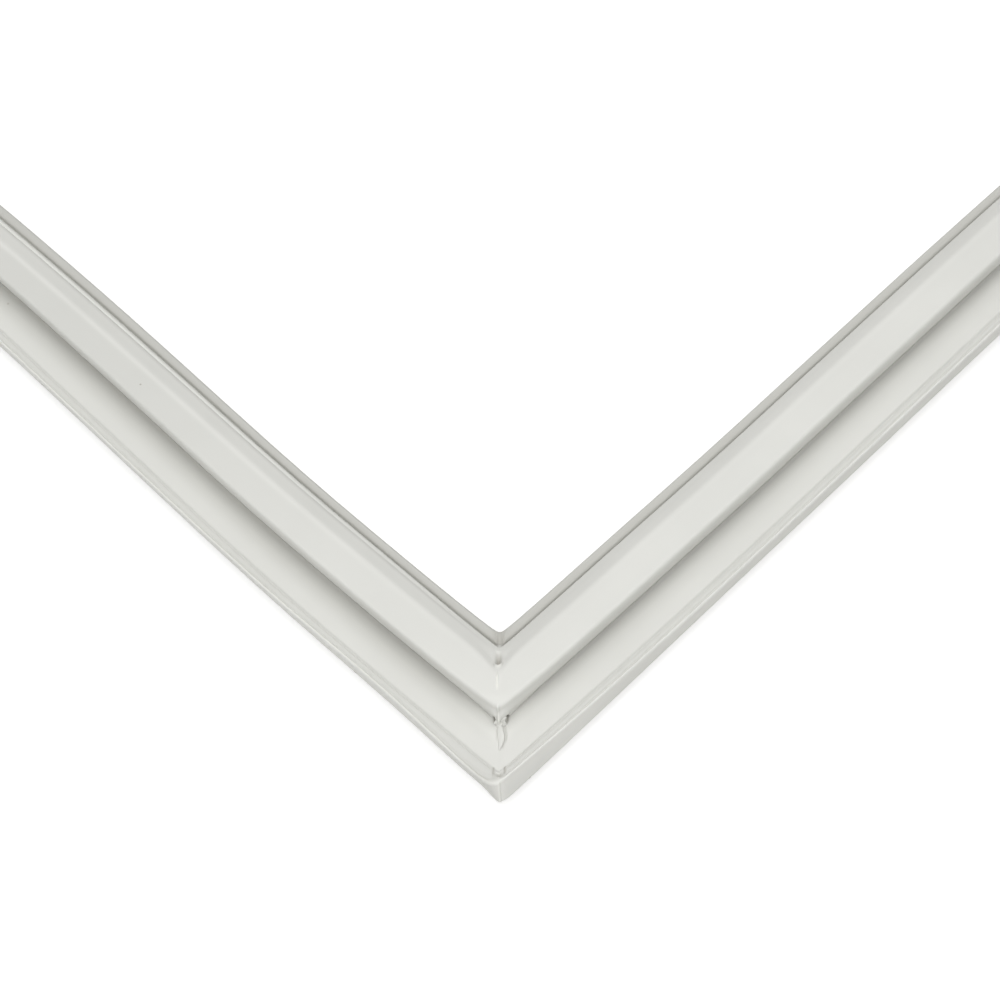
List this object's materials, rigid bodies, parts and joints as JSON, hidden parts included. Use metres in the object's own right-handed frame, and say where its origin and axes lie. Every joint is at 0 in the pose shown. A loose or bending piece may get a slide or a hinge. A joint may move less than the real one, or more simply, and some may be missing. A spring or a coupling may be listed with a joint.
{
  "type": "refrigerator door gasket",
  "caption": "Soft vinyl magnetic door seal: a welded rectangular loop with a magnet pocket, bellows, flat flange with turned-down lip, and a barbed push-in dart.",
  "frame": {"origin": "centre of the loop, on the plane through the dart's tip that it rests on", "axes": "+Z out of the magnet face, across the section's height; +Y along the longer sides; +X along the shorter sides"},
  "size_m": [0.66, 0.71, 0.019],
  "materials": {
    "vinyl": "semi-matt light grey soft PVC extrusion",
    "ferrite": "matt dark brown rubber-bonded ferrite strip"
  },
  "bodies": {
    "root": {"gasket_profile": "vinyl", "magnet_strip_front": "ferrite", "magnet_strip_right": "ferrite", "magnet_strip_back": "ferrite", "magnet_strip_left": "ferrite"}
  },
  "joints": []
}
